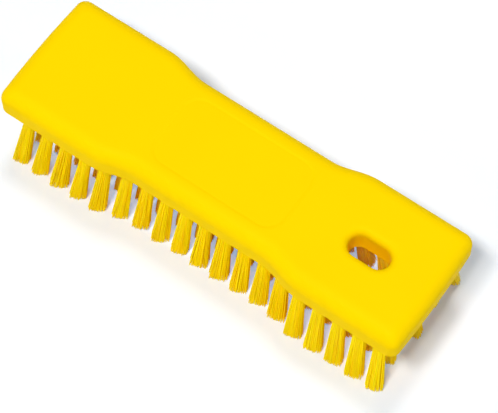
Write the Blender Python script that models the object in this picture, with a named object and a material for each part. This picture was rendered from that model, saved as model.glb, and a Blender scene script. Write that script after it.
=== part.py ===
"""A hand scrub brush: a moulded dog-bone block with a hanging slot, and bristle tufts in five rows.

X runs along the block towards the slot, Y across it and +Z up. The bristle tips stand on Z = 0, and
the origin lies under the middle of the block. Lengths are in metres.
"""

import math

import bmesh
import bpy
from mathutils import Matrix, Vector

MM = 0.001

# The moulded block
LENGTH = 200 * MM
WIDTH = 60 * MM
THICKNESS = 14 * MM
CORNER_RADIUS = 4.5 * MM
TOP_CORNER_RADIUS = 2.5 * MM
END_CROWN = 0.6 * MM
WAIST_INSET = 4 * MM
WAIST_LENGTH = 63 * MM
WAIST_BLEND = 21 * MM
TOP_EDGE_RADIUS = 7 * MM
LOWER_EDGE_CHAMFER = 0.5 * MM

# The slot that the brush hangs by, and the shallow bare panel on top
SLOT_LENGTH = 19 * MM
SLOT_WIDTH = 10 * MM
SLOT_FROM_END = 32.5 * MM
SLOT_FROM_MIDDLE = 0.6 * MM
SLOT_UPPER_RADIUS = 3.5 * MM
SLOT_LOWER_RADIUS = 0.8 * MM
PANEL_LENGTH = 66 * MM
PANEL_WIDTH = 37 * MM
PANEL_CORNER_RADIUS = 9.5 * MM
PANEL_DEPTH = 0.3 * MM

# The tufts: a long row along each edge and three rows between them
TRIM = 38 * MM
COLUMNS = 19
END_MARGIN = 12 * MM
INNER_END_MARGIN = 14 * MM
SIDE_MARGIN = 9.5 * MM
INNER_SHARE = 0.55
ROW_SHARES = {"front": -1.0, "inner_front": -INNER_SHARE, "centre": 0.0, "inner_back": INNER_SHARE, "back": 1.0}
SIDE_LEAN_ANGLE = math.radians(13)
END_LEAN_ANGLE = math.radians(6)
HOLE_RADIUS = 2.3 * MM
HOLE_DEPTH = 9 * MM
SLOT_WALL = 1 * MM
STRANDS = 5
STRAND_SPACING = 0.24 * MM
TIP_SPREAD_SHARE = 2.3
ROOT_PROUD = 0.8 * MM
GROUP_COUNT = 3
STRIP_WIDTH = 1.6 * MM
STRIP_HEIGHT = 1.5 * MM

# Fits and facets
CLEARANCE = 0.3 * MM
OVERRUN = 2 * MM
HOLE_SIDES = 8
END_STEPS = 3
CORNER_STEPS = 6
BLEND_STEPS = 10
EDGE_STEPS = 6
SMOOTH_ANGLE = math.radians(35)

BLOCK_COLOUR = (0.991, 0.716, 0.0, 1.0)
BRISTLE_COLOUR = (1.0, 0.75, 0.0, 1.0)

# Sizes that follow from those above
TOP = TRIM + THICKNESS
SLOT_X = LENGTH / 2 - SLOT_FROM_END
SLOT_Y = -SLOT_FROM_MIDDLE
LAST_COLUMN = (COLUMNS - 1) / 2
INNER_LAST_COLUMN = (COLUMNS - 2) / 2
PITCH = (LENGTH / 2 - END_MARGIN) / LAST_COLUMN
INNER_PITCH = (LENGTH / 2 - INNER_END_MARGIN) / INNER_LAST_COLUMN
ROOT_RADIUS = HOLE_RADIUS * math.cos(math.pi / HOLE_SIDES) - CLEARANCE


def clear_scene():
    for obj in list(bpy.data.objects):
        bpy.data.objects.remove(obj, do_unlink=True)


def new_collection(name):
    collection = bpy.data.collections.new(name)
    bpy.context.scene.collection.children.link(collection)
    return collection


def new_material(name, colour, roughness):
    """A Principled material for a moulded or drawn plastic."""
    material = bpy.data.materials.new(name)
    material.use_nodes = True
    shader = material.node_tree.nodes["Principled BSDF"]
    shader.inputs["Base Color"].default_value = colour
    shader.inputs["Roughness"].default_value = roughness
    shader.inputs["Metallic"].default_value = 0.0
    return material


def new_object(name, shape, collection, material=None):
    """Turns a bmesh into a smooth-shaded object in a collection."""
    mesh = bpy.data.meshes.new(name)
    shape.to_mesh(mesh)
    shape.free()
    mesh.shade_smooth()
    mesh.set_sharp_from_angle(angle=SMOOTH_ANGLE)
    if material:
        mesh.materials.append(material)
    obj = bpy.data.objects.new(name, mesh)
    collection.objects.link(obj)
    return obj


def as_cutter(obj):
    obj.hide_render = True
    obj.display_type = "WIRE"
    return obj


def add_boolean(obj, other, operation):
    modifier = obj.modifiers.new(other.name, "BOOLEAN")
    modifier.operation = operation
    modifier.object = other


def quarter_turn(centre_x, centre_y, radius):
    """Points of an arc from the +X side round to the +Y side of its centre."""
    points = []
    for step in range(CORNER_STEPS + 1):
        angle = math.pi / 2 * step / CORNER_STEPS
        points.append((centre_x + radius * math.cos(angle), centre_y + radius * math.sin(angle)))
    return points


def mirrored(quarter):
    """A whole outline, anticlockwise, from its quarter in +X and +Y."""
    upper = quarter + [(-x, y) for x, y in reversed(quarter)]
    return upper + [(x, -y) for x, y in reversed(upper) if y > 0]


def half_width(x):
    """Half the block's width at x: the waist swells into each end along half a cosine wave."""
    along = (abs(x) - WAIST_LENGTH / 2) / WAIST_BLEND
    along = min(max(along, 0), 1)
    return WIDTH / 2 - WAIST_INSET * (1 + math.cos(math.pi * along)) / 2


def block_outline(inset, corner_radius):
    """The block's outline, drawn in by inset. Its ends are crowned a little."""
    corner_x = LENGTH / 2 - END_CROWN - inset - corner_radius
    corner_y = WIDTH / 2 - inset - corner_radius
    quarter = []
    for step in range(END_STEPS):
        share = step / END_STEPS
        crown = END_CROWN * (1 - share ** 2)
        quarter.append((corner_x + corner_radius + crown, corner_y * share))
    quarter += quarter_turn(corner_x, corner_y, corner_radius)
    for step in range(BLEND_STEPS + 1):
        x = WAIST_LENGTH / 2 + WAIST_BLEND * (1 - step / BLEND_STEPS)
        quarter.append((x, half_width(x) - inset))
    return mirrored(quarter)


def rounded_rectangle(length, width, radius, grown=0.0):
    """A rounded rectangle round the origin, grown outwards by a distance."""
    turn = quarter_turn(length / 2 - radius, width / 2 - radius, radius + grown)
    return mirrored(turn)


def loft(sections):
    """A closed solid through level outlines of equal counts: (outline, height), lowest first."""
    shape = bmesh.new()
    rings = []
    for outline, height in sections:
        rings.append([shape.verts.new((x, y, height)) for x, y in outline])
    for lower, upper in zip(rings, rings[1:]):
        for index, corner in enumerate(lower):
            after = (index + 1) % len(lower)
            shape.faces.new((corner, lower[after], upper[after], upper[index]))
    shape.faces.new(list(reversed(rings[0])))
    shape.faces.new(rings[-1])
    return shape


def block_sections():
    """The block from its chamfered lower edge up the wall and over the rounded top edge."""
    sections = [(block_outline(LOWER_EDGE_CHAMFER, CORNER_RADIUS), TRIM)]
    sections.append((block_outline(0.0, CORNER_RADIUS), TRIM + LOWER_EDGE_CHAMFER))
    for step in range(EDGE_STEPS + 1):
        angle = math.pi / 2 * step / EDGE_STEPS
        inset = TOP_EDGE_RADIUS * (1 - math.cos(angle))
        radius = CORNER_RADIUS + (TOP_CORNER_RADIUS - CORNER_RADIUS) * inset / TOP_EDGE_RADIUS
        height = TOP - TOP_EDGE_RADIUS * (1 - math.sin(angle))
        sections.append((block_outline(inset, radius), height))
    return sections


def slot_sections():
    """The slot's cutter: rounded out at the lower rim and, more, at the upper one."""
    levels = [(SLOT_LOWER_RADIUS, TRIM - OVERRUN)]
    for step in range(EDGE_STEPS + 1):
        angle = math.pi / 2 * (1 - step / EDGE_STEPS)
        grown = SLOT_LOWER_RADIUS * (1 - math.cos(angle))
        levels.append((grown, TRIM + SLOT_LOWER_RADIUS * (1 - math.sin(angle))))
    for step in range(EDGE_STEPS + 1):
        angle = math.pi / 2 * step / EDGE_STEPS
        grown = SLOT_UPPER_RADIUS * (1 - math.cos(angle))
        levels.append((grown, TOP - SLOT_UPPER_RADIUS * (1 - math.sin(angle))))
    levels.append((SLOT_UPPER_RADIUS, TOP + OVERRUN))
    sides = (SLOT_LENGTH, SLOT_WIDTH, SLOT_WIDTH / 2)
    return [(rounded_rectangle(*sides, grown), height) for grown, height in levels]


def make_slot_cutter(collection):
    slot = new_object("slot_cutter", loft(slot_sections()), collection)
    slot.location = (SLOT_X, SLOT_Y, 0)
    return as_cutter(slot)


def make_panel_cutter(collection):
    outline = rounded_rectangle(PANEL_LENGTH, PANEL_WIDTH, PANEL_CORNER_RADIUS)
    sections = [(outline, TOP - PANEL_DEPTH), (outline, TOP + OVERRUN)]
    return as_cutter(new_object("panel_cutter", loft(sections), collection))


def root_of(share, column):
    """The middle of a tuft's hole at the block's underside. The staggered rows have a pitch of their own."""
    x = column * (INNER_PITCH if abs(share) == INNER_SHARE else PITCH)
    return Vector((x, share * (half_width(x) - SIDE_MARGIN), TRIM))


def tip_of(share, column):
    """The middle of a tuft's tip on the floor. The tufts lean outwards, most in the outer rows."""
    root = root_of(share, column)
    out_x = math.tan(END_LEAN_ANGLE) * TRIM * column / LAST_COLUMN
    out_y = math.tan(SIDE_LEAN_ANGLE) * TRIM * share
    return Vector((root.x + out_x, root.y + out_y, 0))


def tuft_matrix(share, column):
    """A frame at the tuft's root, its Z axis pointing up the hole."""
    root = root_of(share, column)
    turn = Vector((0, 0, 1)).rotation_difference(root - tip_of(share, column))
    return Matrix.Translation(root) @ turn.to_matrix().to_4x4()


def meets_slot(share, column):
    """Whether a hole here would break into the hanging slot."""
    root = root_of(share, column)
    reach = HOLE_RADIUS + SLOT_WALL
    past_x = abs(root.x - SLOT_X) - SLOT_LENGTH / 2
    past_y = abs(root.y - SLOT_Y) - SLOT_WIDTH / 2
    return past_x < reach and past_y < reach / 2


def runs_of(name):
    """The unbroken runs of tufts along a row, as lists of columns counted from the middle."""
    staggered = name.startswith("inner")
    count = COLUMNS - 1 if staggered else COLUMNS
    runs = [[]]
    for index in range(count):
        column = index - (count - 1) / 2
        if meets_slot(ROW_SHARES[name], column):
            runs.append([])
        else:
            runs[-1].append(column)
    return [run for run in runs if run]


def groups_of(name):
    """A row's tufts as nodes: single in the two outer rows, by threes in the rows between them."""
    size = GROUP_COUNT if abs(ROW_SHARES[name]) < 1 else 1
    groups = []
    for run in runs_of(name):
        groups += [run[start:start + size] for start in range(0, len(run), size)]
    return groups


def tuft_shape(share, column):
    """A tuft: its root in the hole and strands that spread from the root's mouth to the floor."""
    shape = bmesh.new()
    height = HOLE_DEPTH - CLEARANCE + ROOT_PROUD
    bmesh.ops.create_cone(
        shape, cap_ends=True, cap_tris=True, segments=STRANDS, radius1=ROOT_RADIUS, radius2=ROOT_RADIUS,
        depth=height, matrix=Matrix.Rotation(math.pi / 2, 4, "Z")
    )
    mouth = [face for face in shape.faces if face.normal.z < -0.5]
    bmesh.ops.inset_individual(shape, faces=mouth, thickness=STRAND_SPACING / 2)
    strands = bmesh.ops.extrude_discrete_faces(shape, faces=mouth)["faces"]
    tips = {vert for face in strands for vert in face.verts}
    frame = tuft_matrix(share, column) @ Matrix.Translation((0, 0, height / 2 - ROOT_PROUD))
    tip = tip_of(share, column)
    for vert in shape.verts:
        if vert in tips:
            vert.co = tip + Vector((vert.co.x, vert.co.y, 0)) * TIP_SPREAD_SHARE
        else:
            vert.co = frame @ vert.co
    return shape


def strip_shape(share, first, second, gap=0.0, overrun=0.0):
    """The slice of backing between two neighbouring roots, or with a gap the groove that holds it."""
    start = root_of(share, first)
    end = root_of(share, second)
    along = end - start
    size = (along.length - ROOT_RADIUS, STRIP_WIDTH + 2 * gap, STRIP_HEIGHT + gap + overrun)
    middle = (start + end) / 2 + Vector((0, 0, size[2] / 2 - overrun))
    turn = Matrix.Rotation(math.atan2(along.y, along.x), 4, "Z")
    shape = bmesh.new()
    bmesh.ops.create_cube(shape, size=1, matrix=Matrix.Translation(middle) @ turn @ Matrix.Diagonal((*size, 1)))
    return shape


def joined(shapes):
    """One bmesh that holds several separate bodies."""
    whole = bmesh.new()
    for shape in shapes:
        mesh = bpy.data.meshes.new("part_of_cutter")
        shape.to_mesh(mesh)
        shape.free()
        whole.from_mesh(mesh)
        bpy.data.meshes.remove(mesh)
    return whole


def hole_shape(share, column):
    shape = bmesh.new()
    height = HOLE_DEPTH + OVERRUN
    middle = Matrix.Translation((0, 0, height / 2 - OVERRUN))
    bmesh.ops.create_cone(
        shape, cap_ends=True, segments=HOLE_SIDES, radius1=HOLE_RADIUS, radius2=HOLE_RADIUS, depth=height,
        matrix=tuft_matrix(share, column) @ middle
    )
    return shape


def make_hole_cutters(collection):
    """The blind holes of all tufts, and the grooves between those that share a strip."""
    holes = []
    grooves = []
    for name, share in ROW_SHARES.items():
        for group in groups_of(name):
            holes += [hole_shape(share, column) for column in group]
            grooves += [strip_shape(share, *pair, CLEARANCE, OVERRUN) for pair in zip(group, group[1:])]
    holes = new_object("hole_cutter", joined(holes), collection)
    grooves = new_object("groove_cutter", joined(grooves), collection)
    return [as_cutter(holes), as_cutter(grooves)]


def make_block(collection, cutters, material):
    block = new_object("block", loft(block_sections()), collection, material)
    for cutter in [make_slot_cutter(cutters), make_panel_cutter(cutters), *make_hole_cutters(cutters)]:
        add_boolean(block, cutter, "DIFFERENCE")
    return block


def make_tufts(collection, cutters, material):
    """Every tuft, named by its row and its place from the end without the slot."""
    for name, share in ROW_SHARES.items():
        for number, group in enumerate(groups_of(name), 1):
            label = f"tuft_{name}_{number:02d}"
            tuft = new_object(label, tuft_shape(share, group[0]), collection, material)
            for index, pair in enumerate(zip(group, group[1:]), 1):
                strip = new_object(f"{label}_strip_{index}", strip_shape(share, *pair), cutters)
                fellow = new_object(f"{label}_fellow_{index}", tuft_shape(share, pair[1]), cutters)
                add_boolean(tuft, as_cutter(strip), "UNION")
                add_boolean(tuft, as_cutter(fellow), "UNION")


def main():
    clear_scene()
    brush = new_collection("scrub_brush")
    cutters = new_collection("cutters")
    cutters.hide_render = True
    block_material = new_material("yellow_polypropylene", BLOCK_COLOUR, 0.42)
    bristle_material = new_material("yellow_polyester_filament", BRISTLE_COLOUR, 0.38)
    make_block(brush, cutters, block_material)
    make_tufts(brush, cutters, bristle_material)


main()
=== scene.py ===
# %% [markdown]
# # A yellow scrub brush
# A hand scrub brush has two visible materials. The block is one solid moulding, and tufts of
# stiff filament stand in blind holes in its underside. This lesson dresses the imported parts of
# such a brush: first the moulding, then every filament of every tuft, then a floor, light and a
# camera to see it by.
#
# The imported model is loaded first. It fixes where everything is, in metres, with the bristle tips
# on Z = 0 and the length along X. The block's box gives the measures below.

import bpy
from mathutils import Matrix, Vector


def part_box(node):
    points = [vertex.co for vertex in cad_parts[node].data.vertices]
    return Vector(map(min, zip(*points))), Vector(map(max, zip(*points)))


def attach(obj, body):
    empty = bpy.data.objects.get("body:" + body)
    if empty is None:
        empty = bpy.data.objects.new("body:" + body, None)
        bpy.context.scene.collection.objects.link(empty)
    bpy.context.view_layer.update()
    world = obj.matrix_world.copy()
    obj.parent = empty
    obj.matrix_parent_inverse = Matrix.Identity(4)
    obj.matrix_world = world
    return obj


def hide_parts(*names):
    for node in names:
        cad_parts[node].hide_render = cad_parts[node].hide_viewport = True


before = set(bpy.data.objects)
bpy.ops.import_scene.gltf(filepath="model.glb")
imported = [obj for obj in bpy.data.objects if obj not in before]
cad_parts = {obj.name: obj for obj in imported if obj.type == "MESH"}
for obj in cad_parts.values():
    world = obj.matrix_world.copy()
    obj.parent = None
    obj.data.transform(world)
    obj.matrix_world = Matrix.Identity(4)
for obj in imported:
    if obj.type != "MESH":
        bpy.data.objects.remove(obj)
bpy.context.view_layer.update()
print("packed nodes:", len(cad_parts))

# %% What the lesson works with
import math

import bpy
import numpy as np
from mathutils import Matrix, Vector

MM = 0.001

# %% [markdown]
# ## Small helpers for materials
# Colours on a swatch are written in sRGB, but Blender's shaders work in linear light, so one
# function turns a hex value into linear numbers. Another adds a node with its settings and its
# links, so that each material below reads as a list of what feeds what. The last mixes two
# colours.

# %% Helpers for materials
def linear(code):
    """The linear RGBA of an sRGB hex colour.

    A channel c is c / 12.92 up to 0.04045, and ((c + 0.055) / 1.055) ** 2.4 above it.
    """
    channels = [int(code[place:place + 2], 16) / 255 for place in (1, 3, 5)]
    return [c / 12.92 if c <= 0.04045 else ((c + 0.055) / 1.055) ** 2.4 for c in channels] + [1.0]


def add_node(tree, kind, inputs=None, **settings):
    """Adds a node. Each input, by name or number, is a value or an output socket to link from."""
    node = tree.nodes.new(kind)
    for name, value in settings.items():
        setattr(node, name, value)
    for name, value in (inputs or {}).items():
        if isinstance(value, bpy.types.NodeSocket):
            tree.links.new(value, node.inputs[name])
        else:
            node.inputs[name].default_value = value
    return node


def new_material(name):
    """An empty material, and its node tree."""
    material = bpy.data.materials.new(name)
    material.use_nodes = True
    material.node_tree.nodes.clear()
    return material, material.node_tree


def between(tree, share, first, second):
    """The output of a node that mixes two hex colours by a share from a socket."""
    # On a colour Mix node the inputs 6 and 7 are its two colours, and the output 2 is the mixture.
    return add_node(
        tree, "ShaderNodeMix", {0: share, 6: linear(first), 7: linear(second)}, data_type="RGBA"
    ).outputs[2]


print("sRGB #808080 is linear", round(linear("#808080")[0], 3))

# %% [markdown]
# ## Moulded polypropylene
# The block is polypropylene, dyed right through and injection moulded in a spark-eroded steel
# tool. The tool leaves a satin grain a few tenths of a millimetre across, which spreads the
# highlights so far that the top looks like one even colour. The melt cools unevenly, which leaves
# faint sinks some 30 mm across and a slight drift in the depth of colour. A satin skin under such
# soft light shows next to no highlight, so its gloss is turned down almost to nothing.

# %% The block's material
BLOCK_YELLOW = "#FFD800"
BLOCK_DEEP_YELLOW = "#FED400"
BLOCK_ROUGHNESS = 0.5
BLOCK_GLOSS = 0.01
POLYPROPYLENE_IOR = 1.49
GRAIN_MM = 0.35
GRAIN_HEIGHT_MM = 0.006
GRAIN_DETAIL = 2.0
SINK_MM = 30.0
SINK_HEIGHT_MM = 0.05
SINK_DETAIL = 1.0


def moulded_polypropylene():
    """Yellow that drifts between two depths, with bumps for the sinks and for the tool's grain."""
    material, tree = new_material("moulded_polypropylene")
    place = add_node(tree, "ShaderNodeTexCoord").outputs["Object"]
    sinks = add_node(
        tree, "ShaderNodeTexNoise",
        {"Vector": place, "Scale": 1 / (SINK_MM * MM), "Detail": SINK_DETAIL}
    ).outputs["Fac"]
    grain = add_node(
        tree, "ShaderNodeTexNoise",
        {"Vector": place, "Scale": 1 / (GRAIN_MM * MM), "Detail": GRAIN_DETAIL}
    ).outputs["Fac"]
    colour = between(tree, sinks, BLOCK_YELLOW, BLOCK_DEEP_YELLOW)
    sunk = add_node(tree, "ShaderNodeBump", {"Height": sinks, "Distance": SINK_HEIGHT_MM * MM})
    grained = add_node(
        tree, "ShaderNodeBump",
        {"Height": grain, "Distance": GRAIN_HEIGHT_MM * MM, "Normal": sunk.outputs["Normal"]}
    )
    shader = add_node(
        tree, "ShaderNodeBsdfPrincipled",
        {"Base Color": colour, "Roughness": BLOCK_ROUGHNESS, "IOR": POLYPROPYLENE_IOR,
         "Specular IOR Level": BLOCK_GLOSS, "Normal": grained.outputs["Normal"]}
    )
    add_node(tree, "ShaderNodeOutputMaterial", {"Surface": shader.outputs["BSDF"]})
    return material


block_material = moulded_polypropylene()
print("made", block_material.name)

# %% [markdown]
# ## Drawn polyester filament
# The bristles are polyester, drawn through a round die into filament 0.4 mm thick and cut off
# level. Drawing leaves the sides smoother than the block, but under such soft light they show
# next to no highlight either, so their gloss is turned down too. The dye looks deeper where
# filaments crowd together and light passes from one to the next. Each filament carries a number
# of its own in the attribute "tone", which moves it between two yellows, as batches and angles do
# on a real tuft.

# %% The bristles' material
FILAMENT_YELLOW = "#FFEC00"
FILAMENT_DEEP_YELLOW = "#FFDE00"
FILAMENT_ROUGHNESS = 0.38
FILAMENT_GLOSS = 0.03
POLYESTER_IOR = 1.57


def drawn_polyester():
    """Yellow by the filament's own tone."""
    material, tree = new_material("drawn_polyester_filament")
    tone = add_node(tree, "ShaderNodeAttribute", attribute_name="tone").outputs["Fac"]
    colour = between(tree, tone, FILAMENT_YELLOW, FILAMENT_DEEP_YELLOW)
    shader = add_node(
        tree, "ShaderNodeBsdfPrincipled",
        {"Base Color": colour, "Roughness": FILAMENT_ROUGHNESS, "IOR": POLYESTER_IOR,
         "Specular IOR Level": FILAMENT_GLOSS}
    )
    add_node(tree, "ShaderNodeOutputMaterial", {"Surface": shader.outputs["BSDF"]})
    return material


bristle_material = drawn_polyester()
print("made", bristle_material.name)

# %% [markdown]
# ## The measures of the block
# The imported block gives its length, width and height. What it can't give as one number each is
# written here as it was designed: how far the waist is drawn in and along what length, the
# rounding of the corners and edges, the hanging slot, and the shallow panel on top. All of it is
# in millimetres, and stays so until a mesh is made.

# %% The measures of the block
block_low, block_high = (np.array(corner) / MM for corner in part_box("block"))
LENGTH = block_high[0] - block_low[0]
WIDTH = block_high[1] - block_low[1]
TRIM = block_low[2]
TOP = block_high[2]

CORNER_RADIUS = 4.5
TOP_CORNER_RADIUS = 2.5
END_CROWN = 0.6
WAIST_INSET = 4.0
WAIST_LENGTH = 63.0
WAIST_BLEND = 21.0
TOP_EDGE_RADIUS = 7.0
LOWER_EDGE_RADIUS = 0.6
SLOT_LENGTH = 19.0
SLOT_WIDTH = 10.0
SLOT_FROM_END = 32.5
SLOT_X = LENGTH / 2 - SLOT_FROM_END
SLOT_Y = -0.6
SLOT_UPPER_RADIUS = 3.5
SLOT_LOWER_RADIUS = 0.8
PANEL_LENGTH = 66.0
PANEL_WIDTH = 37.0
PANEL_CORNER_RADIUS = 9.5
PANEL_DEPTH = 0.3
PANEL_EDGE = 1.8
print(f"block {LENGTH:.1f} x {WIDTH:.1f} x {TOP - TRIM:.1f} mm, over {TRIM:.1f} mm of bristle")

# %% [markdown]
# ## The outline, and surfaces from stacked outlines
# Seen from above, the block is a dog bone: two broad ends and a waist for the fingers. One
# quarter of that outline is worked out and mirrored twice. The solid is then a stack of such
# outlines, drawn in by the amount that the rounded edge asks for at each height. It could also be
# a box with bevels, but the edge is rounder than the corners, and stacked outlines let the
# corners tighten on the way up, as they do on the real moulding.

# %% The outline of the block
END_STEPS = 8
CORNER_STEPS = 14
BLEND_STEPS = 26


def half_width(x):
    """Half the width at x.

    It is WIDTH / 2 less the inset, which fades as (1 + cos(pi s)) / 2 along the blend.
    """
    along = np.clip((np.abs(x) - WAIST_LENGTH / 2) / WAIST_BLEND, 0, 1)
    return WIDTH / 2 - WAIST_INSET * (1 + np.cos(np.pi * along)) / 2


def mirrored(quarter):
    """A closed outline, anticlockwise, from the quarter that runs from the +X side round to +Y."""
    upper = np.vstack([quarter, quarter[::-1] * (-1, 1)])
    lower = upper[::-1] * (1, -1)
    return np.vstack([upper, lower[lower[:, 1] < 0]])


def quarter_turn(centre, radius, steps):
    """An arc centre + radius (cos a, sin a), with a from 0 to a right angle."""
    angle = np.linspace(0, np.pi / 2, steps + 1)
    return centre + radius * np.column_stack([np.cos(angle), np.sin(angle)])


def block_outline(inset, corner_radius):
    """The outline drawn in by inset.

    From middle to corner the ends are crowned by END_CROWN (1 - s ** 2).
    """
    centre = np.array([LENGTH / 2 - END_CROWN, WIDTH / 2]) - inset - corner_radius
    share = np.arange(END_STEPS) / END_STEPS
    end_x = centre[0] + corner_radius + END_CROWN * (1 - share ** 2)
    end = np.column_stack([end_x, centre[1] * share])
    corner = quarter_turn(centre, corner_radius, CORNER_STEPS)
    x = WAIST_LENGTH / 2 + WAIST_BLEND * np.linspace(1, 0, BLEND_STEPS + 1)
    side = np.column_stack([x, half_width(x) - inset])
    return mirrored(np.vstack([end, corner, side]))


outline = block_outline(0.0, CORNER_RADIUS)
print("outline of", len(outline), "points, waist", round(2 * float(half_width(0.0)), 1), "mm wide")

# %% A closed surface from stacked outlines
def stack(outlines, heights):
    """Vertices and faces of a solid with flat ends, from one outline for each height."""
    count = len(outlines[0])
    levels = np.repeat(np.asarray(heights, float), count)
    vertices = np.column_stack([np.vstack(outlines), levels])
    ring, point = np.meshgrid(np.arange(len(outlines) - 1), np.arange(count), indexing="ij")
    here = ring * count + point
    beside = ring * count + (point + 1) % count
    walls = np.stack([here, beside, beside + count, here + count], axis=-1).reshape(-1, 4)
    last = (len(outlines) - 1) * count
    ends = [list(range(count - 1, -1, -1)), list(range(last, last + count))]
    return vertices, walls.tolist() + ends


SHARP_DEGREES = 32


def new_piece(name, vertices, faces, material=None, sharp_degrees=SHARP_DEGREES):
    """An object at the origin from points in millimetres, smooth apart from edges over an angle."""
    mesh = bpy.data.meshes.new(name)
    mesh.from_pydata((np.asarray(vertices) * MM).tolist(), [], faces)
    mesh.shade_smooth()
    mesh.set_sharp_from_angle(angle=math.radians(sharp_degrees))
    if material:
        mesh.materials.append(material)
    piece = bpy.data.objects.new(name, mesh)
    bpy.context.scene.collection.objects.link(piece)
    return piece


# %% [markdown]
# ## The block as it leaves the mould
# From the underside up, the edge turns over a small radius, runs up the wall, and rolls over the
# large radius onto the flat top.

# %% The solid block
EDGE_STEPS = 16
LOWER_STEPS = 5


def block_stack():
    """The outlines from the underside up, with a from 0 to a right angle on each edge.

    On the small lower edge the inset is r (1 - sin a) and the height r (1 - cos a). On the large
    upper one the inset is R (1 - cos a), and the outline lies R (1 - sin a) under the top.
    """
    low = np.linspace(0, np.pi / 2, LOWER_STEPS + 1)
    high = np.linspace(0, np.pi / 2, EDGE_STEPS + 1)
    low_inset = LOWER_EDGE_RADIUS * (1 - np.sin(low))
    high_inset = TOP_EDGE_RADIUS * (1 - np.cos(high))
    insets = np.concatenate([low_inset, high_inset])
    low_height = TRIM + LOWER_EDGE_RADIUS * (1 - np.cos(low))
    high_height = TOP - TOP_EDGE_RADIUS * (1 - np.sin(high))
    rolled = np.concatenate([0 * low_inset, high_inset]) / TOP_EDGE_RADIUS
    radii = CORNER_RADIUS + (TOP_CORNER_RADIUS - CORNER_RADIUS) * rolled
    outlines = [block_outline(inset, radius) for inset, radius in zip(insets, radii)]
    return stack(outlines, np.concatenate([low_height, high_height]))


block = new_piece("block_moulding", *block_stack(), block_material)
print("block of", len(block.data.polygons), "faces before cutting")

# %% [markdown]
# ## The slot, the panel and the holes
# A mould makes these with cores and inserts that stand in the cavity, so they are cut here with
# solids of the same shapes. The slot's core flares at both ends, which is what rounds the slot's
# rims. The panel's insert has a soft edge nearly two millimetres wide. Each hole's pin leans as
# its tuft will.

# %% Rounded oblongs, for the slot and the panel
OBLONG_STEPS = 18
OVERRUN = 2.0
RIM_STEPS = 10
PANEL_EDGE_LEVELS = 9


def oblong(length, width, radius, grown=0.0):
    """A rectangle with round corners, grown outwards: the corner arcs are radius + grown."""
    centre = np.array([length / 2 - radius, width / 2 - radius])
    return mirrored(quarter_turn(centre, radius + grown, OBLONG_STEPS))


def slot_core():
    """The core about the slot's middle: r (1 - cos a) wider at r (1 - sin a) under each face."""
    low = np.linspace(np.pi / 2, 0, RIM_STEPS + 1)
    high = np.linspace(0, np.pi / 2, RIM_STEPS + 1)
    grown = np.concatenate([
        [SLOT_LOWER_RADIUS], SLOT_LOWER_RADIUS * (1 - np.cos(low)),
        SLOT_UPPER_RADIUS * (1 - np.cos(high)), [SLOT_UPPER_RADIUS]
    ])
    heights = np.concatenate([
        [TRIM - OVERRUN], TRIM + SLOT_LOWER_RADIUS * (1 - np.sin(low)),
        TOP - SLOT_UPPER_RADIUS * (1 - np.sin(high)), [TOP + OVERRUN]
    ])
    middle = np.array([SLOT_X, SLOT_Y])
    outlines = [middle + oblong(SLOT_LENGTH, SLOT_WIDTH, SLOT_WIDTH / 2, g) for g in grown]
    return stack(outlines, heights)


def panel_insert():
    """A soft step: at share s of its edge it is PANEL_DEPTH (1 - 3 s ** 2 + 2 s ** 3) deep."""
    share = np.linspace(0, 1, PANEL_EDGE_LEVELS)
    depth = PANEL_DEPTH * (1 - 3 * share ** 2 + 2 * share ** 3)
    grown = PANEL_EDGE * (share - 1)
    outlines = [oblong(PANEL_LENGTH, PANEL_WIDTH, PANEL_CORNER_RADIUS, g) for g in [*grown, 0.0]]
    return stack(outlines, [*(TOP - depth), TOP + OVERRUN])


print("slot", SLOT_LENGTH, "x", SLOT_WIDTH, "mm, panel", PANEL_LENGTH, "x", PANEL_WIDTH, "mm")

# %% [markdown]
# ## Where the tufts stand
# The two outer rows have 19 tufts each and follow the block's edges in at the waist. The rows
# between them have 18, 19 and 18. The rows of 18 are staggered like the seeds on a cob, and stand
# a little wider apart. The middle row misses three places, where the slot is. Every tuft leans
# outwards, so that the brush cleans wider than its block.

# %% Rows and places of the tufts
COLUMNS = 19
END_MARGIN = 12.0
INNER_END_MARGIN = 14.0
SIDE_MARGIN = 9.5
INNER_SHARE = 0.55
ROW_SHARES = {
    "front": -1.0, "inner_front": -INNER_SHARE, "centre": 0.0,
    "inner_back": INNER_SHARE, "back": 1.0,
}
SIDE_LEAN = math.radians(13)
END_LEAN = math.radians(6)
HOLE_RADIUS = 2.3
HOLE_DEPTH = 9.0
SLOT_WALL = 1.0
TUFTS_PER_PIECE = 3
LAST_COLUMN = (COLUMNS - 1) / 2
PITCH = (LENGTH / 2 - END_MARGIN) / LAST_COLUMN
INNER_PITCH = (LENGTH / 2 - INNER_END_MARGIN) / (LAST_COLUMN - 0.5)


def root_of(share, column):
    """The middle of a hole: x is column times the row's pitch, y the row's share of the way out."""
    x = column * (INNER_PITCH if abs(share) == INNER_SHARE else PITCH)
    return np.array([x, share * (float(half_width(x)) - SIDE_MARGIN), TRIM])


def tip_of(share, column):
    """The middle of a tuft on the floor: its root moved outwards by tan(lean) times the trim."""
    lean = np.array([math.tan(END_LEAN) * column / LAST_COLUMN, math.tan(SIDE_LEAN) * share])
    return np.append(root_of(share, column)[:2] + TRIM * lean, 0.0)


def meets_slot(share, column):
    """Whether a hole here would leave too thin a wall to the slot."""
    apart = np.abs(root_of(share, column)[:2] - (SLOT_X, SLOT_Y))
    gap = apart - (SLOT_LENGTH / 2, SLOT_WIDTH / 2)
    return (gap < HOLE_RADIUS + SLOT_WALL).all()


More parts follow.
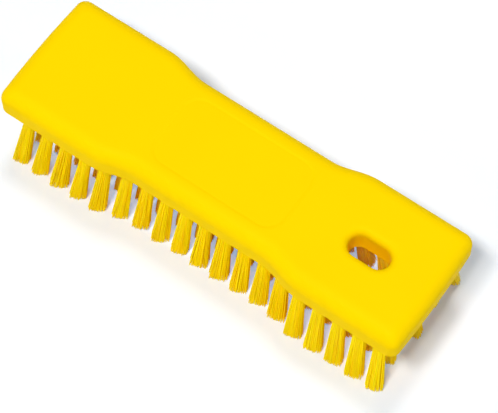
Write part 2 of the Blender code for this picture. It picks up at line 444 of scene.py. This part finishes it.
def places_by_node():
    """The places that each CAD node holds: one tuft's, or in the inner rows up to three."""
    found = {}
    for row, share in ROW_SHARES.items():
        count = COLUMNS - 1 if row.startswith("inner") else COLUMNS
        size = TUFTS_PER_PIECE if abs(share) < 1 else 1
        runs = [[]]
        for column in np.arange(count) - (count - 1) / 2:
            if meets_slot(share, column):
                runs.append([])
            else:
                runs[-1].append((share, column))
        groups = [run[start:start + size] for run in runs for start in range(0, len(run), size)]
        found.update({f"tuft_{row}_{number:02d}": group for number, group in enumerate(groups, 1)})
    return found


places = places_by_node()
print("tufts:", sum(len(group) for group in places.values()), "in", len(places), "pieces")

# %% The pins that leave the holes
HOLE_SIDES = 20


def hole_pins():
    """Round pins along the tufts' own lines, from below the block to the holes' ends."""
    angle = np.linspace(0, 2 * np.pi, HOLE_SIDES, endpoint=False)
    ring = HOLE_RADIUS * np.column_stack([np.cos(angle), np.sin(angle)])
    vertices, faces = [], []
    for share, column in [place for group in places.values() for place in group]:
        root, tip = root_of(share, column), tip_of(share, column)
        slope = (root - tip)[:2] / TRIM
        outlines = [root[:2] + slope * rise + ring for rise in (-OVERRUN, HOLE_DEPTH)]
        points, walls = stack(outlines, [TRIM - OVERRUN, TRIM + HOLE_DEPTH])
        faces += [[corner + sum(map(len, vertices)) for corner in face] for face in walls]
        vertices.append(points)
    return np.vstack(vertices), faces


def cut(piece, *cutters):
    """Takes solids away from a piece, keeps the result in its mesh, and removes the solids."""
    for cutter in cutters:
        modifier = piece.modifiers.new(cutter.name, "BOOLEAN")
        modifier.operation = "DIFFERENCE"
        modifier.object = cutter
    evaluated = piece.evaluated_get(bpy.context.evaluated_depsgraph_get())
    whole = bpy.data.meshes.new_from_object(evaluated)
    piece.modifiers.clear()
    piece.data = whole
    for cutter in cutters:
        bpy.data.objects.remove(cutter)


cut(
    block, new_piece("slot_core", *slot_core()), new_piece("panel_insert", *panel_insert()),
    new_piece("hole_pins", *hole_pins())
)
print("block of", len(block.data.polygons), "faces after cutting")

# %% [markdown]
# ## Shading the block
# Cutting leaves very large flat faces beside very narrow round ones. Where they share a corner,
# plain smooth shading tips the large face's normal and draws a smear across the top. Weighting
# each normal by the area of its faces keeps the flat faces flat, and the roundings still meet
# them smoothly.

# %% Finish the block
FLAT_FACE_WEIGHT = 100

block.data.shade_smooth()
block.data.set_sharp_from_angle(angle=math.radians(SHARP_DEGREES))
weigh = block.modifiers.new("flat_faces_lead", "WEIGHTED_NORMAL")
weigh.weight = FLAT_FACE_WEIGHT
weigh.keep_sharp = True
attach(block, "root")
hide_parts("block")
print("block rides on root")

# %% [markdown]
# ## Filling the tufts
# A machine folds a bundle of straight filaments over a wire, drives it into the hole, and the two
# halves spring apart. So a tuft is a tight round bundle at the hole's mouth and a wider, squarer
# fan at the tip. The wire lies slantwise, so that it doesn't split the block along a row, and the
# fan is turned with it. On the way the filaments stick together in a few clumps, bow a little,
# and some end short. Fine curves with a bevel could draw this, but thousands of them are heavy,
# so each tuft is computed whole: all of its filaments, as five-sided tubes of five lengths, in
# one array.

# %% The measures of a tuft
FILAMENTS = 200
FILAMENT_RADIUS = 0.2
SIDES = 5
# Where the filaments bend: shares of the way from the hole's mouth, 0, to the tip, 1.
STATIONS = np.array([-0.21, 0.0, 0.22, 0.46, 0.72, 1.0])
ROOT_RADIUS = 1.8
TIP_RADII = np.array([4.0, 3.0])
FAN_TURN = math.radians(20)
FAN_TURN_SCATTER = math.radians(6)
FAN_SIZE_SCATTER = 0.04
SQUARE_SHARE = 0.75
CLUMPS = 5
CLUMP_REACH = 0.62
CLUMP_ANGLE_SCATTER = 0.25
CLUMP_PULL = 0.07
CLUMP_PULL_RANGE = (0.4, 1.4)
BOW_MM = 0.15
TIP_SCATTER_MM = 0.12
CUT_SLANT = 0.05
SHORT_MM = 0.35
TONE_MIDDLE = 0.45
TONE_SCATTER = 0.3
TUBE_SHARP_DEGREES = 70
GOLDEN_ANGLE = math.pi * (3 - math.sqrt(5))
SEED = 20
rng = np.random.default_rng(SEED)


def packed_disc(count):
    """Even places on a disc of radius 1.

    Point i of n lies at the radius sqrt((i + 0.5) / n), and i golden angles round.
    """
    index = np.arange(count)
    radius, angle = np.sqrt((index + 0.5) / count), index * GOLDEN_ANGLE
    return radius[:, None] * np.column_stack([np.cos(angle), np.sin(angle)])


def turned(points, angle):
    """Points (x, y) turned anticlockwise: (x cos a - y sin a, x sin a + y cos a)."""
    cosine, sine = math.cos(angle), math.sin(angle)
    return points @ np.array([[cosine, sine], [-sine, cosine]])


print("a tuft has", FILAMENTS, "filaments of", 2 * FILAMENT_RADIUS, "mm")

# %% The lines of a tuft's filaments
def tip_places(disc):
    """Tip places about the tuft's middle.

    The disc is made squarer: a place p moves SQUARE_SHARE of the way to p |p| / max(|x|, |y|),
    where the disc would be a square. Then the places are pulled a little to the nearest of a few
    clump centres, stretched to the fan's radii and scattered.
    """
    fan = TIP_RADII * rng.normal(1.0, FAN_SIZE_SCATTER)
    radius = np.linalg.norm(disc, axis=1)
    disc = disc * (1 + SQUARE_SHARE * (radius / np.abs(disc).max(axis=1) - 1))[:, None]
    start = rng.uniform(0, 2 * np.pi)
    even = start + np.arange(CLUMPS) * 2 * np.pi / CLUMPS
    angle = even + rng.normal(0, CLUMP_ANGLE_SCATTER, CLUMPS)
    centres = CLUMP_REACH * np.column_stack([np.cos(angle), np.sin(angle)])
    nearest = np.linalg.norm(disc[:, None] - centres, axis=2).argmin(axis=1)
    pull = CLUMP_PULL * (centres[nearest] - disc) * rng.uniform(*CLUMP_PULL_RANGE, (len(disc), 1))
    return (disc + pull) * fan + rng.normal(0, TIP_SCATTER_MM, disc.shape)


def tip_heights(tips):
    """How far above the floor each filament ends: the tuft's slanted cut and some of its own."""
    slant = rng.normal(0, CUT_SLANT, 2)
    uneven = np.abs(rng.normal(0, SHORT_MM, len(tips)))
    height = tips @ slant + uneven
    return height - height.min()


def filament_lines(share, column):
    """The middle lines of a tuft's filaments, as filaments x stations x 3.

    At station s a line is at root + s (tip - root), plus its place in the bundle, which changes
    evenly from its root place to its tip place, plus a bow of b sin(pi s). Above the mouth the
    place stays the root's.
    """
    root, tip = root_of(share, column), tip_of(share, column)
    disc = turned(packed_disc(FILAMENTS), rng.uniform(0, 2 * np.pi))
    turn = rng.normal(FAN_TURN, FAN_TURN_SCATTER)
    starts, ends = turned(ROOT_RADIUS * disc, turn), turned(tip_places(disc), turn)
    fan = np.clip(STATIONS, 0, 1)[None, :, None]
    bow = rng.normal(0, BOW_MM, (FILAMENTS, 1, 2)) * np.sin(np.pi * fan)
    middle = (root + STATIONS[:, None] * (tip - root))[None, :, :]
    level = middle[..., :2] + starts[:, None] * (1 - fan) + ends[:, None] * fan + bow
    height = middle[..., 2] + tip_heights(ends)[:, None] * fan[..., 0]
    return np.concatenate([level, height[..., None]], axis=2)


first_tuft = filament_lines(-1.0, -LAST_COLUMN)
print("root of the first tuft:", np.round(first_tuft[:, 1].mean(axis=0), 1))

# %% Tubes round lines
def tubes(lines, radius, sides):
    """Tubes as faceted columns, with a level ring radius (cos a, sin a, 0) round each point."""
    count, stations, _ = lines.shape
    angle = np.linspace(0, 2 * np.pi, sides, endpoint=False)
    ring = radius * np.column_stack([np.cos(angle), np.sin(angle), 0 * angle])
    vertices = (lines[:, :, None, :] + ring).reshape(-1, 3)
    tube, station, side = np.meshgrid(
        np.arange(count), np.arange(stations - 1), np.arange(sides), indexing="ij"
    )
    here = (tube * stations + station) * sides + side
    beside = here - side + (side + 1) % sides
    walls = np.stack([here + sides, beside + sides, beside, here], axis=-1).reshape(-1, 4)
    first = np.arange(count)[:, None] * stations * sides + np.arange(sides)
    last = first + (stations - 1) * sides
    return vertices, walls.tolist() + first.tolist() + last[:, ::-1].tolist()


def bristles(name, group):
    """One piece for one CAD node: the tubes of its tufts, each filament with its own tone."""
    lines = np.concatenate([filament_lines(share, column) for share, column in group])
    vertices, faces = tubes(lines, FILAMENT_RADIUS, SIDES)
    piece = new_piece(name, vertices, faces, bristle_material, TUBE_SHARP_DEGREES)
    tones = np.clip(rng.normal(TONE_MIDDLE, TONE_SCATTER, len(lines)), 0, 1)
    tone = piece.data.attributes.new("tone", "FLOAT", "POINT")
    tone.data.foreach_set("value", np.repeat(tones, len(STATIONS) * SIDES))
    return piece


# %% [markdown]
# Each piece of bristle takes the place of the CAD node whose tufts it draws.

# %% Every tuft of the brush
for node, group in places.items():
    piece = bristles(node.replace("tuft", "bristles"), group)
    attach(piece, "root")
    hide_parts(node)
print("filaments:", FILAMENTS * sum(len(group) for group in places.values()))

# %% [markdown]
# ## Floor, light and camera
# The brush stands on plain white. A floor that was only lit would clip to white everywhere or
# show grey, so it is lit as a matt surface and adds a little light of its own, but only where the
# camera or a reflection looks at it. What the floor throws back onto the brush is then the matt
# part alone. Under the brush this own light is stronger and bluer, because the light that the
# bristles throw down is orange, and the floor should stay a cool grey where it shows between the
# tufts and in the slot. It is stronger again far from the brush, where less of the lamps' light
# arrives.

# %% The floor
PURE_WHITE = "#FFFFFF"
FLOOR_WHITE = "#EEEEEE"
FLOOR_GLOW_BLUE = "#A8DAFF"
FLOOR_GLOW = 0.16
# Painted light: under the brush the floor glows for the eye alone, which lightens and cools the
# shade between the tufts and in the slot.
UNDER_GLOW_BLUE = "#88D2FF"
UNDER_GLOW = 0.40
UNDER_HALF = np.array([88.0, 22.0, 0.0])
UNDER_FADE = 7.0
FAR_GLOW = 0.5
FAR_START = 16.0
FAR_END = 300.0
FLOOR_HALF = 1500.0
FLOOR_DROP = 0.05


def seen_by_eye(tree):
    """1 where a ray comes from the camera, a reflection or a clear surface, and otherwise 0."""
    path = add_node(tree, "ShaderNodeLightPath").outputs
    either = add_node(
        tree, "ShaderNodeMath", {0: path["Is Camera Ray"], 1: path["Is Glossy Ray"]},
        operation="MAXIMUM"
    ).outputs[0]
    return add_node(
        tree, "ShaderNodeMath", {0: either, 1: path["Is Transmission Ray"]}, operation="MAXIMUM"
    ).outputs[0]


def away_from_tufts(tree):
    """The distance |(max(|x| - a, 0), max(|y| - b, 0))| from the floor under the tufts."""
    place = add_node(tree, "ShaderNodeTexCoord").outputs["Object"]

    def step(operation, *inputs):
        return add_node(
            tree, "ShaderNodeVectorMath", dict(enumerate(inputs)), operation=operation
        ).outputs

    folded = step("ABSOLUTE", place)[0]
    past = step("SUBTRACT", folded, UNDER_HALF * MM)[0]
    outside = step("MAXIMUM", past, (0, 0, 0))[0]
    return step("LENGTH", outside)["Value"]


def eased(tree, distance, start, end, first, last):
    """A value that goes smoothly from first, up to start millimetres, to last, from end on."""
    return add_node(
        tree, "ShaderNodeMapRange",
        {"Value": distance, "From Min": start * MM, "From Max": end * MM,
         "To Min": first, "To Max": last},
        interpolation_type="SMOOTHSTEP"
    ).outputs["Result"]


def eye_glow(tree, colour, amount):
    """Light of a colour that only an eye sees. The amount is a number or a socket."""
    strength = add_node(
        tree, "ShaderNodeMath", {0: seen_by_eye(tree), 1: amount}, operation="MULTIPLY"
    ).outputs[0]
    return add_node(
        tree, "ShaderNodeEmission", {"Color": linear(colour), "Strength": strength}
    ).outputs[0]


def paper_floor():
    """Matt white plus a glow that only an eye sees, stronger under the brush and far from it."""
    material, tree = new_material("matt_white_paper")
    matt = add_node(tree, "ShaderNodeBsdfDiffuse", {"Color": linear(FLOOR_WHITE)}).outputs[0]
    away = away_from_tufts(tree)
    glows = [
        eye_glow(tree, FLOOR_GLOW_BLUE, FLOOR_GLOW),
        # Painted light under the brush, which lightens and cools the shade there.
        eye_glow(tree, UNDER_GLOW_BLUE, eased(tree, away, 0.0, UNDER_FADE, UNDER_GLOW, 0.0)),
        eye_glow(tree, PURE_WHITE, eased(tree, away, FAR_START, FAR_END, 0.0, FAR_GLOW))
    ]
    whole = matt
    for glow in glows:
        whole = add_node(tree, "ShaderNodeAddShader", {0: whole, 1: glow}).outputs[0]
    add_node(tree, "ShaderNodeOutputMaterial", {"Surface": whole})
    return material


corners = np.array([[-1, -1], [1, -1], [1, 1], [-1, 1]]) * FLOOR_HALF
floor_points = np.column_stack([corners, [-FLOOR_DROP] * 4])
floor = new_piece("floor", floor_points, [[0, 1, 2, 3]], paper_floor())
print("floor of", 2 * FLOOR_HALF / 1000, "m")

# %% [markdown]
# Light comes from four round lamps. The main one is high up in front and a little to the left, so
# the brush's shadow shows past its right-hand end, and its size sets how soft the shadow's edges
# are. One high up behind draws a soft shade in front of the tips. The third, a smaller one,
# stands close to the camera's line of sight and lights what the camera sees in the slot and
# between the tufts. A weak one low on the right lights the rounded edges of the right-hand end.
# The sky lights everything at a lower level and a little bluer, as a window would. It is
# brightest at the horizon, where it lights the walls and rounded edges and hardly the floor.

# %% The lamps and the sky
LAMP_DISTANCE_M = 3.2
LAMPS = {
    # The width in metres, the watts, and the direction as slopes: x and y for each unit of height.
    "main_lamp": (0.50, 41.2, (-0.055, -0.42)),
    "back_lamp": (0.60, 24.5, (-0.10, 0.24)),
    "front_lamp": (0.35, 30.5, (0.09, -0.43)),
    "side_lamp": (1.00, 10.0, (2.0, 0.9)),
}
SKY = "#DDE6FF"
SKY_STRENGTH = 0.10
HORIZON_STRENGTH = 1.15
HORIZON_TOP = 0.4


def add_lamp(name, size, watts, slopes):
    """A round area lamp at the lamps' distance in a direction, looking at the origin."""
    data = bpy.data.lights.new(name, "AREA")
    data.shape = "DISK"
    data.size = size
    data.energy = watts
    lamp = bpy.data.objects.new(name, data)
    bpy.context.scene.collection.objects.link(lamp)
    towards = Vector((*slopes, 1.0)).normalized()
    lamp.location = LAMP_DISTANCE_M * towards
    lamp.rotation_euler = towards.to_track_quat("Z", "Y").to_euler()


for name, (size, watts, slopes) in LAMPS.items():
    add_lamp(name, size, watts, slopes)

world = bpy.data.worlds.new("soft_sky")
world.use_nodes = True
world.node_tree.nodes.clear()
direction = add_node(world.node_tree, "ShaderNodeTexCoord").outputs["Generated"]
rise = add_node(world.node_tree, "ShaderNodeSeparateXYZ", {0: direction}).outputs["Z"]
# From the horizon, where the rise is 0, to HORIZON_TOP the strength falls evenly to the sky's own.
fall = add_node(
    world.node_tree, "ShaderNodeMapRange",
    {"Value": rise, "From Min": 0.0, "From Max": HORIZON_TOP,
     "To Min": SKY_STRENGTH + HORIZON_STRENGTH, "To Max": SKY_STRENGTH}
).outputs["Result"]
sky = add_node(world.node_tree, "ShaderNodeBackground", {"Color": linear(SKY), "Strength": fall})
white = add_node(
    world.node_tree, "ShaderNodeBackground", {"Color": linear(PURE_WHITE), "Strength": 1.0}
)
mixed = add_node(
    world.node_tree, "ShaderNodeMixShader",
    {0: seen_by_eye(world.node_tree), 1: sky.outputs[0], 2: white.outputs[0]}
)
add_node(world.node_tree, "ShaderNodeOutputWorld", {"Surface": mixed.outputs[0]})
bpy.context.scene.world = world
bpy.context.scene.view_settings.view_transform = "Standard"
print("lamps:", ", ".join(LAMPS), "and a sky at", SKY_STRENGTH)

# %% [markdown]
# The yellow plastic sends nearly all red light back. In the slot and between the filaments that
# light bounces dozens of times before it gets out, which is what makes these places glow orange
# and not brown. Blender stops after four matt bounces by default, so the limit is raised.

# %% Enough bounces for pale plastic
BOUNCES = 24
bpy.context.scene.cycles.max_bounces = BOUNCES
bpy.context.scene.cycles.diffuse_bounces = BOUNCES
print("matt bounces:", BOUNCES)

# %% [markdown]
# The camera looks down over the near right-hand side, from about 64 degrees above the floor,
# through a long lens. Its directions are written as it stands: right, up and back towards the
# eye.

# %% The camera
CAMERA_LENS_MM = 159.57
CAMERA_SENSOR_MM = 36.0
CAMERA_PLACE_M = Vector((0.24195, -0.33236, 0.85299))
CAMERA_RIGHT = Vector((0.81793, 0.57531, -0.00013))
CAMERA_UP = Vector((-0.51696, 0.73508, 0.43865))
CAMERA_BACK = Vector((0.25245, -0.35872, 0.89866))

camera_data = bpy.data.cameras.new("camera")
camera_data.sensor_fit = "HORIZONTAL"
camera_data.sensor_width = CAMERA_SENSOR_MM
camera_data.lens = CAMERA_LENS_MM
camera = bpy.data.objects.new("camera", camera_data)
bpy.context.scene.collection.objects.link(camera)
axes = Matrix((CAMERA_RIGHT, CAMERA_UP, CAMERA_BACK)).transposed()
camera.matrix_world = Matrix.Translation(CAMERA_PLACE_M) @ axes.to_4x4()
bpy.context.scene.camera = camera
print("camera", round(CAMERA_PLACE_M.length, 3), "m from the brush")
